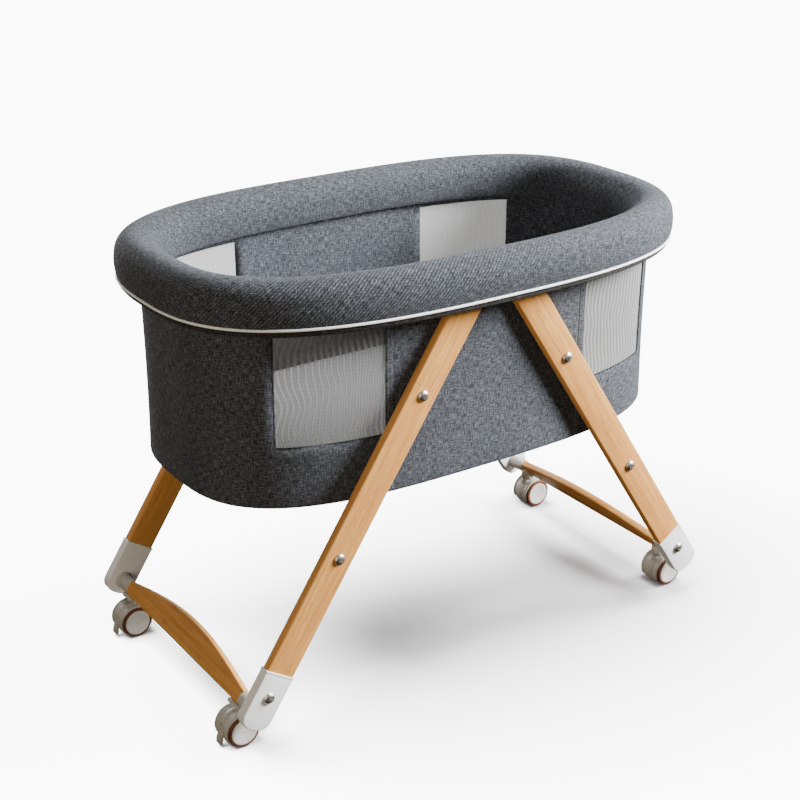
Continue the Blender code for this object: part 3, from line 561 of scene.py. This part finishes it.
# -------- rim
def rim():
    """The padded roll round the top, the band beneath it, in darker cloth as painted shade, and the
    white piping sewn between them.
    """
    half = RIM_WIDTH / 2
    shoulder = RIM_HIGH.z - RIM_CROWN + 0.0005
    groove = PIPING_DEPTH + PIPING_RADIUS
    outer = [(groove, PIPING_Z), (groove - 0.0008, PIPING_Z + 0.0020), (0.0006, PIPING_Z + 0.0036),
             (-0.0010, PIPING_Z + 0.0085), (-RIM_SWELL, PIPING_Z + 0.017),
             (-RIM_SWELL, shoulder - 0.008)]
    crown = []
    for i in range(13):
        angle = math.pi * (1 - i / 12)
        crown.append((half + (half + 0.001) * math.cos(angle), shoulder + RIM_CROWN * math.sin(angle)))
    inner = [(RIM_WIDTH + 0.0005, shoulder - 0.012), (RIM_WIDTH + 0.0002, shoulder - 0.024),
             (RIM_WIDTH - 0.002, RIM_LOW.z + 0.004), (RIM_WIDTH - 0.006, RIM_LOW.z)]
    channel = [(0.0495, RIM_LOW.z + 0.001), (0.0495, 0.655), (0.044, 0.662), (0.025, 0.662),
               (0.0195, 0.655), (0.0195, 0.6125)]
    band = [(0.0165, 0.6070), (0.0110, 0.6048), (0.0058, 0.6052), (0.0028, 0.6082), (0.0022, 0.6120),
            (groove - 0.0006, PIPING_Z - 0.0020)]
    bm = sweep(RIM_OUTLINE, outer + crown + inner + channel + band, 240)
    # The band under the piping takes the darker cloth, as painted shade where the rim overhangs it.
    for face in bm.faces:
        centre = face.calc_center_median()
        if centre.z < PIPING_Z - 0.001 and oval_share(centre, RIM_OUTLINE) > 0.72:
            face.material_index = 1      # the band under the piping
    pad = finish_piece("rim_cushion", bm, ["rim", "shade_and_trim"], "root", ["rim_pad"], sharp=60)

    def is_held(point):
        start, stop = CHANNEL_INSET
        in_channel = (point.z < CHANNEL_TOP and oval_share(point, RIM_OUTLINE, start) < 1.0
                      and oval_share(point, RIM_OUTLINE, stop) > 1.0)
        return in_channel or point.z < PIPING_Z + 0.003

    swell(pad, is_held, cap=0.003)
    subdivide(pad)

    cord = [(PIPING_DEPTH + a, PIPING_Z + b) for a, b in round_points(PIPING_RADIUS, 14)]
    finish_piece("piping_cord", sweep(RIM_OUTLINE, cord, 260), ["piping"], "root", ["rim_piping"])


# -------- basket
def wall_outline(z, inset=0.0):
    """The wall's outline at a height, moved inward by the inset."""
    share = min(max((z - SHELL_LOW.z) / (SHELL_HIGH.z - SHELL_LOW.z), 0.0), 1.0)
    half_length, half_width, exponent = (
        low + (high - low) * share for low, high in zip(WALL_BOTTOM_OUTLINE, WALL_TOP_OUTLINE))
    return half_length - inset, half_width - inset, exponent


def wall_y(x, outline):
    half_length, half_width, exponent = outline
    return half_width * max(0.0, 1 - (abs(x) / half_length) ** exponent) ** (1 / exponent)


def wall_slack(x, z):
    """How far the stretched cloth sinks between its seams."""
    high = math.sin(math.pi * min(max((z - SHELL_LOW.z) / (WINDOW_Z[1] - SHELL_LOW.z), 0.0), 1.0))
    ripple = 0.5 + 0.5 * math.sin(31 * x + 9 * math.sin(7 * x + 2.0))
    return high * (0.0008 + 0.0012 * ripple)


def wall_point(x, z, inset=0.0):
    """A point on the wall's side panels, in the corner frame."""
    return Vector((x, wall_y(x, wall_outline(z)) - wall_slack(x, z) - inset, z))


def wall_row(z, inset):
    """Points once round the wall at a height, with columns on the windows' upright edges."""
    outline = wall_outline(z, inset)
    half_length, half_width, exponent = outline
    near, far = WINDOW_X
    along = [near * i / 12 for i in range(12)] + [near + (far - near) * i / 12 for i in range(13)]
    quarter = [(x, wall_y(x, outline)) for x in along]
    last = quarter[-1][1]
    for i in range(1, 19):
        y = last * (1 - i / 18)
        quarter.append((half_length * (1 - (y / half_width) ** exponent) ** (1 / exponent), y))
    points = quarter + [(x, -y) for x, y in reversed(quarter[:-1])]
    points += [(-x, -y) for x, y in quarter[1:]] + [(-x, y) for x, y in reversed(quarter[1:-1])]
    row = []
    for x, y in points:
        radius = math.hypot(x, y)
        slack = wall_slack(x if abs(y) > SIDE_Y else y, z)
        row.append(Vector((x * (1 - slack / radius), y * (1 - slack / radius), z)))
    return row


def basket_cloth():
    """Wall and floor cut as one sheet, open above, with four window openings."""
    levels = [(WALL_BOTTOM_Z + WALL_EDGE * (1 - math.cos(a)), WALL_EDGE * (1 - math.sin(a)))
              for a in (math.pi / 2 * i / 5 for i in range(6))]
    start, (low, high), top = levels[-1][0], WINDOW_Z, SHELL_HIGH.z
    levels += [(start + (low - start) * i / 6, 0.0) for i in range(1, 7)]
    levels += [(low + (high - low) * i / 10, 0.0) for i in range(1, 11)]
    levels += [(high + (top - high) * i / 3, 0.0) for i in range(1, 4)]
    bm = bmesh.new()
    rows = [[bm.verts.new(point) for point in wall_row(z, inset)] for z, inset in levels]
    weave = bm.loops.layers.uv.new("weave")
    count = len(rows[0])
    around = [0.0]
    for i in range(count):
        around.append(around[-1] + (rows[-1][i].co - rows[-1][(i + 1) % count].co).length)
    near, far = WINDOW_X
    for (z_low, _), (z_high, _), lower, upper in zip(levels, levels[1:], rows, rows[1:]):
        for i in range(count):
            j = (i + 1) % count
            x = abs(lower[i].co.x + lower[j].co.x) / 2
            side = abs(lower[i].co.y + lower[j].co.y) / 2 > SIDE_Y
            if side and near < x < far and low < (z_low + z_high) / 2 < high:
                continue
            face = bm.faces.new((lower[i], lower[j], upper[j], upper[i]))
            spots = ((around[i], z_low), (around[i + 1], z_low),
                     (around[i + 1], z_high), (around[i], z_high))
            for loop, uv in zip(face.loops, spots):
                loop[weave].uv = uv
    ring = rows[0]
    for scale in (0.9, 0.7, 0.5, 0.3, 0.1):
        inner = [bm.verts.new((v.co.x * scale, v.co.y * scale, WALL_BOTTOM_Z)) for v in rows[0]]
        for i in range(count):
            j = (i + 1) % count
            face = bm.faces.new((ring[i], ring[j], inner[j], inner[i]))
            for loop in face.loops:
                loop[weave].uv = loop.vert.co.xy
        ring = inner
    bm.faces.new(ring)
    for vert in list(bm.verts):
        if not vert.link_faces:
            bm.verts.remove(vert)
    cloth = finish_piece("basket_cloth", bm, ["wall"], "root", ["basket_shell"], sharp=70)
    solidify = cloth.modifiers.new("cloth", "SOLIDIFY")
    solidify.thickness, solidify.offset = CLOTH, -1.0
    return cloth


def add_ribbon(bm, centre_line, sideways, width, height):
    """A flat welt with rounded edges, laid on the wall along a line of points."""
    section = rounded_rectangle(width / 2, height / 2, height * 0.45, 2)
    add_loft(bm, [[point + sideways * a + OUT * b for a, b in section] for point in centre_line])


def seams(name, corner):
    """The felled seam beside a window, its two rows of stitches, and the welt round the net."""
    near, far = WINDOW_X
    top, bottom = RIM_LOW.z, WALL_BOTTOM_Z + WALL_EDGE

    def finish_trim(bm, kind, look):
        return finish_piece(f"{kind}_{name}", bm, [look], "root", corner=corner)

    bm = bmesh.new()
    line = [wall_point(near - SEAM_STRIP / 2, bottom + (top - bottom) * i / 30) for i in range(31)]
    add_ribbon(bm, line, ACROSS, SEAM_STRIP, 0.0012)
    add_weave(bm, lambda vert: (vert.co.x, vert.co.z))
    strip = finish_trim(bm, "seam_strip", "wall")

    bm = bmesh.new()
    for x in (near - 0.003, near - SEAM_STRIP + 0.003):
        for i in range(int((top - bottom) / STITCH_PITCH)):
            z = bottom + STITCH_PITCH * (i + 0.5)
            rings = []
            for k in range(5):
                share = k / 4
                swelling = math.sin(math.pi * share)
                spot = wall_point(x, z + STITCH_LENGTH * (share - 0.5))
                spot += OUT * (0.0006 + 0.00045 * swelling)
                rings.append([spot + Vector((a, b, 0))
                              for a, b in round_points(0.00034 * (0.45 + 0.55 * swelling), 6)])
            add_loft(bm, rings)
    stitches = finish_trim(bm, "seam_stitches", "thread")

    bm = bmesh.new()
    low, high = WINDOW_Z
    for x in (near, far):
        line = [wall_point(x, low + (high - low) * i / 12) for i in range(13)]
        add_ribbon(bm, line, ACROSS, WELT_WIDTH, WELT_HEIGHT)
    for z in (low, high):
        line = [wall_point(near + (far - near) * i / 16, z) for i in range(17)]
        add_ribbon(bm, line, UP, WELT_WIDTH, WELT_HEIGHT)
    add_weave(bm, lambda vert: (vert.co.x, vert.co.z))
    return strip, stitches, finish_trim(bm, "net_welt", "shade_and_trim")


def net(name, corner):
    """One window's net, stretched in its opening."""
    (near, far), (low, high) = WINDOW_X, WINDOW_Z
    bm = bmesh.new()
    columns, levels = 18, 16
    rows = []
    for r in range(levels + 1):
        z = low + (high - low) * r / levels
        row = []
        for c in range(columns + 1):
            x = near + (far - near) * c / columns
            sink = 0.0012 * math.sin(math.pi * c / columns) * math.sin(math.pi * r / levels)
            row.append(wall_point(x, z, 0.0011 + sink))
        rows.append(row)
    width = sum((a - b).length for a, b in zip(rows[0], rows[0][1:]))
    uv_of = {vert: (width * c / columns, (high - low) * r / levels)
             for r, row in enumerate(add_loft(bm, rows, closed=False)) for c, vert in enumerate(row)}
    add_weave(bm, uv_of.get)
    look = "net_rear" if corner[1] > 0 else f"net_{name}"
    made = finish_piece(f"net_{name}", bm, [look], "root", [f"window_mesh_{name}"], corner)


def mattress():
    """A thin pad with a sewn edge, crowned a little."""
    bm = bmesh.new()
    centre_z = middle("mattress").z
    half = (MATTRESS_HIGH.z - MATTRESS_LOW.z) / 2
    outline = (MATTRESS_HIGH.x - 0.0005, MATTRESS_HIGH.y - 0.0005, 3.1)
    stations, _ = oval_stations(outline, 120)
    rings = []
    edge = 0.011
    for sign in (-1, 1):
        side = []
        for scale in (0.12, 0.3, 0.48, 0.64, 0.78, 0.88, 0.94):
            z = centre_z + sign * (half - 0.0015)
            side.append([Vector((p.x * scale, p.y * scale, z)) for p, _, _ in stations])
        for i in range(6):
            angle = math.pi / 2 * i / 5
            inset, rise = edge * (1 - math.sin(angle)), (half - 0.0015) * math.cos(angle)
            z = centre_z + sign * rise
            side.append([p - n * inset + UP * z for p, n, _ in stations])
        rings += side if sign < 0 else list(reversed(side[:-1]))
    add_loft(bm, rings)
    add_weave(bm, lambda vert: (vert.co.x + vert.co.z, vert.co.y + vert.co.z))
    pad = finish_piece("mattress_pad", bm, ["mattress"], "root", ["mattress"], sharp=70)
    # Held along the seam and underneath.
    swell(pad, lambda p: abs(p.z - centre_z) < 0.002 or p.z < centre_z - half + 0.003, cap=0.0025)
    subdivide(pad)
    seam = [(0.0008 + a, centre_z + b) for a, b in round_points(0.0014, 10)]
    finish_piece("mattress_seam", sweep(outline, seam, 200), ["piping"], "root")


def basket():
    """Everything between the legs."""
    rim()
    cloth = basket_cloth()
    trims = []
    for name, corner in CORNERS.items():
        *cloth_trims, welt = seams(name, corner)
        net(name, corner)
        trims += cloth_trims
    around = oval_stations(WALL_TOP_OUTLINE, 100)[1]
    mattress()


# -------- stand
def leg_point(along, across, y):
    """A point by its distance up the leg from the foot bolt, across it and outward."""
    return Vector((FOOT_BOLT.x, 0, FOOT_BOLT.z)) + LEG_UP * along + LEG_OUT * across + OUT * y


def leg(name, corner):
    """A beech board with rounded long edges, cut level under the rim."""
    bm = bmesh.new()
    centre_y = (LEG_LOW.y + LEG_HIGH.y) / 2
    start = SOCKET_TOP - 0.004
    steps = 24
    rings = []
    outline = rounded_rectangle(LEG_WIDTH / 2, LEG_THICKNESS / 2, LEG_EDGE)
    for i in range(steps + 1):
        ring = []
        for across, depth in outline:
            end = (LEG_HIGH.z - FOOT_BOLT.z - across * LEG_OUT.z) / LEG_UP.z
            ring.append(leg_point(start + (end - start) * i / steps, across, centre_y + depth))
        rings.append(ring)
    add_loft(bm, rings)
    finish_piece(f"beech_leg_{name}", bm, ["leg_beech"], "root", [f"leg_{name}"], corner)


def socket_outline(margin):
    """The foot's outline in the leg's plane: square on top, rounded below the pivot."""
    half = LEG_WIDTH / 2 + SOCKET_PROUD - margin
    reach = SOCKET_ROUND - SOCKET_END - margin
    points = [(SOCKET_TOP - margin, half), (SOCKET_TOP - margin, 0.0), (SOCKET_TOP - margin, -half)]
    points += [(SOCKET_TOP - margin + (SOCKET_ROUND - SOCKET_TOP) * i / 5, -half) for i in range(1, 5)]
    for i in range(25):
        cosine, sine = -math.cos(math.pi * i / 24), math.sin(math.pi * i / 24)
        across = math.copysign(abs(cosine) ** (2 / SOCKET_EXPONENT), cosine)
        points.append((SOCKET_ROUND - reach * sine ** (2 / SOCKET_EXPONENT), half * across))
    points += [(SOCKET_ROUND + (SOCKET_TOP - SOCKET_ROUND) * i / 5, half) for i in range(1, 5)]
    return points


def foot(name, corner):
    """The white moulded foot, with a thin lip where the leg enters it."""
    bm = bmesh.new()
    inner, outer = SOCKET_LOW.y, SOCKET_HIGH.y
    rings = []
    for side, face_y in ((1, inner), (-1, outer)):
        part = []
        for i in range(5):
            angle = math.pi / 2 * i / 4
            margin, rise = SOCKET_EDGE * (1 - math.sin(angle)), SOCKET_EDGE * (1 - math.cos(angle))
            part.append([leg_point(al, ac, face_y + side * rise) for al, ac in socket_outline(margin)])
        rings += part if side > 0 else list(reversed(part))
    add_loft(bm, rings)
    lip = 0.0028
    add_bar(bm, lambda along, a, b: leg_point(along, a, (inner + outer) / 2 + b),
            SOCKET_TOP - lip, SOCKET_TOP + 0.0006,
            LEG_WIDTH / 2 + SOCKET_PROUD + 0.0003, (outer - inner) / 2 + 0.0003, 0.0008)
    finish_piece(f"moulded_foot_{name}", bm, ["white"], "root", [f"foot_socket_{name}"],
                 corner)


def bolt(name, node_name, corner, face_y):
    """A domed bolt head with a hexagon socket, over a thin washer line."""
    centre = outward(middle(node_name))
    spot = Vector((centre.x, 0, centre.z))
    bm = bmesh.new()
    sides = 36
    base = face_y + 0.0002
    profile = [(BOLT_RADIUS * 0.8, base), (BOLT_RADIUS, base), (BOLT_RADIUS, base + 0.0009)]
    for i in range(1, 7):
        angle = math.radians(12 + 52 * i / 6)
        profile.append((BOLT_RADIUS * math.cos(angle) * 1.02, base + 0.0002 + 0.0047 * math.sin(angle)))
    rings = [[spot + Vector((a, along, b)) for a, b in round_points(radius, sides)]
             for radius, along in profile]
    top = profile[-1][1]
    for scale, height in ((1.0, top + 0.0001), (0.96, top - 0.0003), (0.95, top - 0.0024)):
        ring = []
        for i in range(sides):
            angle = 2 * math.pi * i / sides
            to_flat = (angle % (math.pi / 3)) - math.pi / 6
            radius = 0.0034 * scale * math.cos(math.pi / 6) / math.cos(to_flat)
            ring.append(spot + Vector((radius * math.cos(angle), height, radius * math.sin(angle))))
        rings.append(ring)
    add_loft(bm, rings)
    finish_piece(name, bm, ["steel"], "root", [node_name], corner, sharp=35)


def stand():
    """Four legs with their feet and bolts; the straps stay as they are."""
    for name, corner in CORNERS.items():
        leg(name, corner)
        foot(name, corner)
        bolt(f"bolt_upper_{name}", f"upper_bolt_{name}", corner, LEG_HIGH.y)
        bolt(f"bolt_lower_{name}", f"lower_bolt_{name}", corner, LEG_HIGH.y)
        bolt(f"bolt_foot_{name}", f"foot_bolt_{name}", corner, SOCKET_HIGH.y)


# -------- rockers and castors
def bar(name, side):
    """A beech board, straight below and bowed above."""
    bm = bmesh.new()
    rings = []
    steps = 48
    for i in range(steps + 1):
        y = BAR_END * (2 * i / steps - 1)
        top = BAR_END_TOP + (BAR_CREST - BAR_END_TOP) * math.cos(math.pi / 2 * y / BAR_END)
        half, centre = (top - BAR_BOTTOM) / 2, (top + BAR_BOTTOM) / 2
        rings.append([PIVOT + LEG_UP * (centre + a) + LEG_OUT * b + OUT * y
                      for a, b in rounded_rectangle(half, BAR_THICKNESS / 2, BAR_EDGE)])
    add_loft(bm, rings)
    finish_piece(f"beech_bar_{name}", bm, ["bar_beech"], f"rocker_{name}", [f"rocker_bar_{name}"],
                 (side, 1))


def hub(name, corner, body):
    """The rocker's plastic end: a tapered boss, a shelf under the bar and the holder for the stem."""
    bm = bmesh.new()
    face = SOCKET_LOW.y - 0.0003
    add_lathe(bm, [(0.0098, BAR_END), (0.0110, BAR_END + 0.0008), (0.0124, face - 0.0052),
                   (0.0134, face - 0.0046), (0.0137, face - 0.0038), (0.0137, face - 0.0008),
                   (0.0131, face)], Vector((PIVOT.x, 0, PIVOT.z)))

    def shelf_point(along, a, b):
        return PIVOT + LEG_UP * a + LEG_OUT * b + OUT * along + LEG_UP * (BAR_BOTTOM - 0.003)

    add_bar(bm, shelf_point, SHELF_START_Y, BAR_END + 0.004, 0.003, 0.008, 0.0012)
    add_lathe(bm, [(0.0068, 0.0545), (0.0076, 0.0552), (0.0080, 0.0565), (0.0080, PIVOT.z - 0.004),
                   (0.0074, PIVOT.z - 0.0025)], STEM_FOOT, "z")
    finish_piece(f"hub_{name}", bm, ["grey"], body, [f"rocker_hub_{name}"], corner)


def add_arc(bm, low_y, high_y, outline):
    """A slab with the given outline about the axle, its long edges softened."""
    edge = 0.0007
    rings = []
    for y, inset in ((low_y, edge), (low_y + edge * 0.3, edge * 0.3), (low_y + edge, 0.0),
                     (high_y - edge, 0.0), (high_y - edge * 0.3, edge * 0.3), (high_y, edge)):
        rings.append([Vector((AXLE.x + out * (1 - inset / HOOD_RADIUS), AXLE.y + y,
                              AXLE.z + up * (1 - inset / HOOD_RADIUS))) for out, up in outline])
    add_loft(bm, rings)


def add_arc_pair(bm, near, far, outline):
    """The same slab on both sides of the castor's middle."""
    add_arc(bm, -far, -near, outline)
    add_arc(bm, near, far, outline)


def arc(radius, start, stop):
    """Points (outward, up) on a circle about the axle, from one angle to another in degrees."""
    angles = (math.radians(start + (stop - start) * i / 40) for i in range(41))
    return [(radius * math.cos(angle), radius * math.sin(angle)) for angle in angles]


def hood(name, corner, body):
    """The castor's drum: solid between its wheels, a thin guard over them, notched for a pedal."""
    bm = bmesh.new()
    start, stop = HOOD_SPAN
    whole = arc(HOOD_RADIUS, start, stop)
    if name in BRAKED:
        (slot_x, slot_z), slot_half = PEDAL_SLOT, PEDAL_SLOT_HALF
        first = math.degrees(math.asin(slot_z / HOOD_RADIUS))
        notched = arc(HOOD_RADIUS, first, stop) + [(slot_x, whole[-1][1]), (slot_x, slot_z)]
        add_arc(bm, -slot_half, slot_half, notched)
        add_arc_pair(bm, slot_half, HOOD_HALF_WIDTH, whole)
    else:
        add_arc(bm, -HOOD_HALF_WIDTH, HOOD_HALF_WIDTH, whole)
    span = (start + GUARD_TRIM, stop - GUARD_TRIM)
    guard = arc(HOOD_RADIUS, *span) + list(reversed(arc(GUARD_INNER_RADIUS, *span)))
    add_arc_pair(bm, HOOD_HALF_WIDTH - 0.001, GUARD_HALF_WIDTH, guard)
    add_lathe(bm, [(0.0078, 0.036), (0.0078, 0.0490), (0.0074, 0.0505), (0.0060, 0.0520),
                   (0.0045, 0.0521)], STEM_FOOT, "z")
    add_lathe(bm, [(0.003, -0.0205), (0.003, 0.0205)], AXLE)
    finish_piece(f"hood_{name}", bm, ["grey"], body, [f"caster_hood_{name}"], corner)


def stem(name, corner, body):
    """The steel pin between hood and hub, with a collar."""
    bm = bmesh.new()
    add_lathe(bm, [(0.0033, 0.0403), (0.0035, 0.0408), (0.0035, 0.0525), (0.0050, 0.0527),
                   (0.0050, 0.0540), (0.0035, 0.0542), (0.0035, 0.0609), (0.0030, 0.0614)],
              STEM_FOOT, "z")
    finish_piece(f"stem_pin_{name}", bm, ["tube"], body, [f"caster_stem_{name}"], corner)


def wheel(name, node_name, corner, side, body):
    """A wheel with a rounded tread and a dished cap."""
    bm = bmesh.new()
    inner, outer = WHEEL_LOW.y - AXLE.y, WHEEL_HIGH.y - AXLE.y
    radius = AXLE.z - 0.0001         # just clear of the floor
    profile = [(0.0045, inner, 0), (radius - 0.0030, inner, 0), (radius - 0.0012, inner + 0.0004, 0)]
    for i in range(7):
        angle = math.pi * i / 6
        profile.append((radius - 0.0010 + 0.0010 * math.sin(angle),
                        inner + 0.0012 + (outer - inner - 0.0024) * (1 - math.cos(angle)) / 2, 0))
    profile += [(radius - 0.0012, outer - 0.0004, 0), (radius - 0.0036, outer, 0),
                (radius - 0.0040, outer - 0.0010, 1), (radius - 0.0044, outer - 0.0010, 1),
                (radius - 0.0050, outer + 0.0002, 1),
                (radius - 0.0075, outer + 0.0005, 1), (radius - 0.0110, outer - 0.0004, 1),
                (0.0045, outer - 0.0006, 1), (0.0008, outer - 0.0006, 1)]
    flipped = [(r, side * along, m) for r, along, m in profile]
    add_lathe(bm, flipped, AXLE, sides=56)
    finish_piece(name, bm, ["tread", "cap"], body, [node_name], corner)


def castors():
    """Both rockers with their hubs and castors."""
    for name, side in (("left", -1), ("right", 1)):
        bar(name, side)
    for name, corner in CORNERS.items():
        rocker = "rocker_left" if corner[0] < 0 else "rocker_right"
        caster = f"caster_{name}"
        hub(name, corner, rocker)
        hood(name, corner, caster)
        stem(name, corner, caster)
        for which, side in (("inner", -1), ("outer", 1)):
            wheel(f"rolling_{which}_{name}", f"wheel_{which}_{name}", corner, side,
                  f"roller_{which}_{name}")


def kept_nodes():
    """Better materials, and softer edges, for the CAD pieces that still show."""
    for name, cad in frame["nodes"].items():
        if name.startswith("leg_strap") or name == "top_ring":
            look = "tube"
        elif name == "base_board":
            look = "board"
        elif name.startswith("brake_pedal"):
            look = "grey"
            edge = cad.modifiers.new("edge", "BEVEL")
            edge.width, edge.segments = 0.0009, 3
            edge.limit_method, edge.angle_limit = "ANGLE", math.radians(18)
        else:
            continue
        for slot in cad.material_slots:
            slot.material = MATERIALS[look]


# -------- studio
def studio():
    """Pale floor, white surroundings, a soft key from the right and the camera."""
    scene = bpy.context.scene
    bm = bmesh.new()
    bmesh.ops.create_grid(bm, x_segments=8, y_segments=8, size=30.0)
    mesh = bpy.data.meshes.new("floor")
    bm.to_mesh(mesh)
    bm.free()
    floor_look, tree, shader = new_material("floor", Roughness=0.9, Specular_IOR_Level=0.1)
    soft = noise(tree, place(tree, (0.5,) * 3), 2.0)
    tree.links.new(ramp(tree, soft, [(0.2, 0.86), (0.8, 0.88)]), shader.inputs["Base Color"])
    mesh.materials.append(floor_look)
    floor = bpy.data.objects.new("floor", mesh)
    floor.location.z = -0.0005
    scene.collection.objects.link(floor)
    # The floor throws no light back at the object.  Disks light the object, suns only the floor.
    floor.visible_diffuse = floor.visible_glossy = False
    floor_only = bpy.data.collections.new("floor_only")
    floor_only.objects.link(floor)
    not_floor = bpy.data.collections.new("not_floor")
    not_floor.objects.link(floor)
    not_floor.collection_objects[0].light_linking.link_state = "EXCLUDE"

    world = bpy.data.worlds.new("surroundings")
    scene.world = world
    world.use_nodes = True
    background = world.node_tree.nodes["Background"]
    background.inputs["Color"].default_value = (0.97, 0.98, 1.0, 1.0)
    background.inputs["Strength"].default_value = 12.0
    world.cycles_visibility.diffuse = world.cycles_visibility.glossy = False

    for name, spot, size, power, colour in (
            ("key", (2.25, -1.38, 1.85), 1.4, 515.0, (0.96, 0.98, 1.0)),
            ("top", (0.6, 0.5, 2.6), 1.8, 50.0, (0.95, 0.97, 1.0)),
            ("back", (0.2, 3.1, 0.75), 2.2, 170.0, (0.96, 0.98, 1.0)),
            ("fill", (-2.5, -1.6, 0.95), 2.4, 45.0, (1.0, 0.88, 0.70))):
        light = bpy.data.lights.new(name, "AREA")
        light.shape, light.size, light.energy, light.color = "DISK", size, power, colour
        lamp = bpy.data.objects.new(name, light)
        lamp.location = spot
        lamp.rotation_euler = (UP * 0.4 - Vector(spot)).to_track_quat("-Z", "Y").to_euler()
        scene.collection.objects.link(lamp)
        lamp.light_linking.receiver_collection = not_floor
    for name, tilt, strength, spread in (("floor_sky", (0.0, 0.0, 0.0), 2.6, 179.0),
                                         ("floor_wash", (-0.20, -0.30, 0.0), 34.0, 50.0),
                                         ("floor_side", (0.2, 0.75, 0.0), 6.0, 24.0)):
        sun = bpy.data.lights.new(name, "SUN")
        sun.energy, sun.angle = strength, math.radians(spread)
        lamp = bpy.data.objects.new(name, sun)
        lamp.rotation_euler = tilt
        scene.collection.objects.link(lamp)
        lamp.light_linking.receiver_collection = floor_only

    azimuth, elevation, distance = math.radians(-34.1), math.radians(23.1), 2.351
    target = Vector((-0.0085, 0.0, 0.370))
    back = Vector((math.sin(azimuth) * math.cos(elevation), -math.cos(azimuth) * math.cos(elevation),
                   math.sin(elevation)))
    lens = bpy.data.cameras.new("camera")
    lens.sensor_width, lens.lens = 36.0, 67.7
    camera = bpy.data.objects.new("camera", lens)
    camera.location = target + back * distance
    camera.rotation_euler = (-back).to_track_quat("-Z", "Y").to_euler()
    scene.collection.objects.link(camera)
    scene.camera = camera


studio()
basket()
stand()
castors()
kept_nodes()
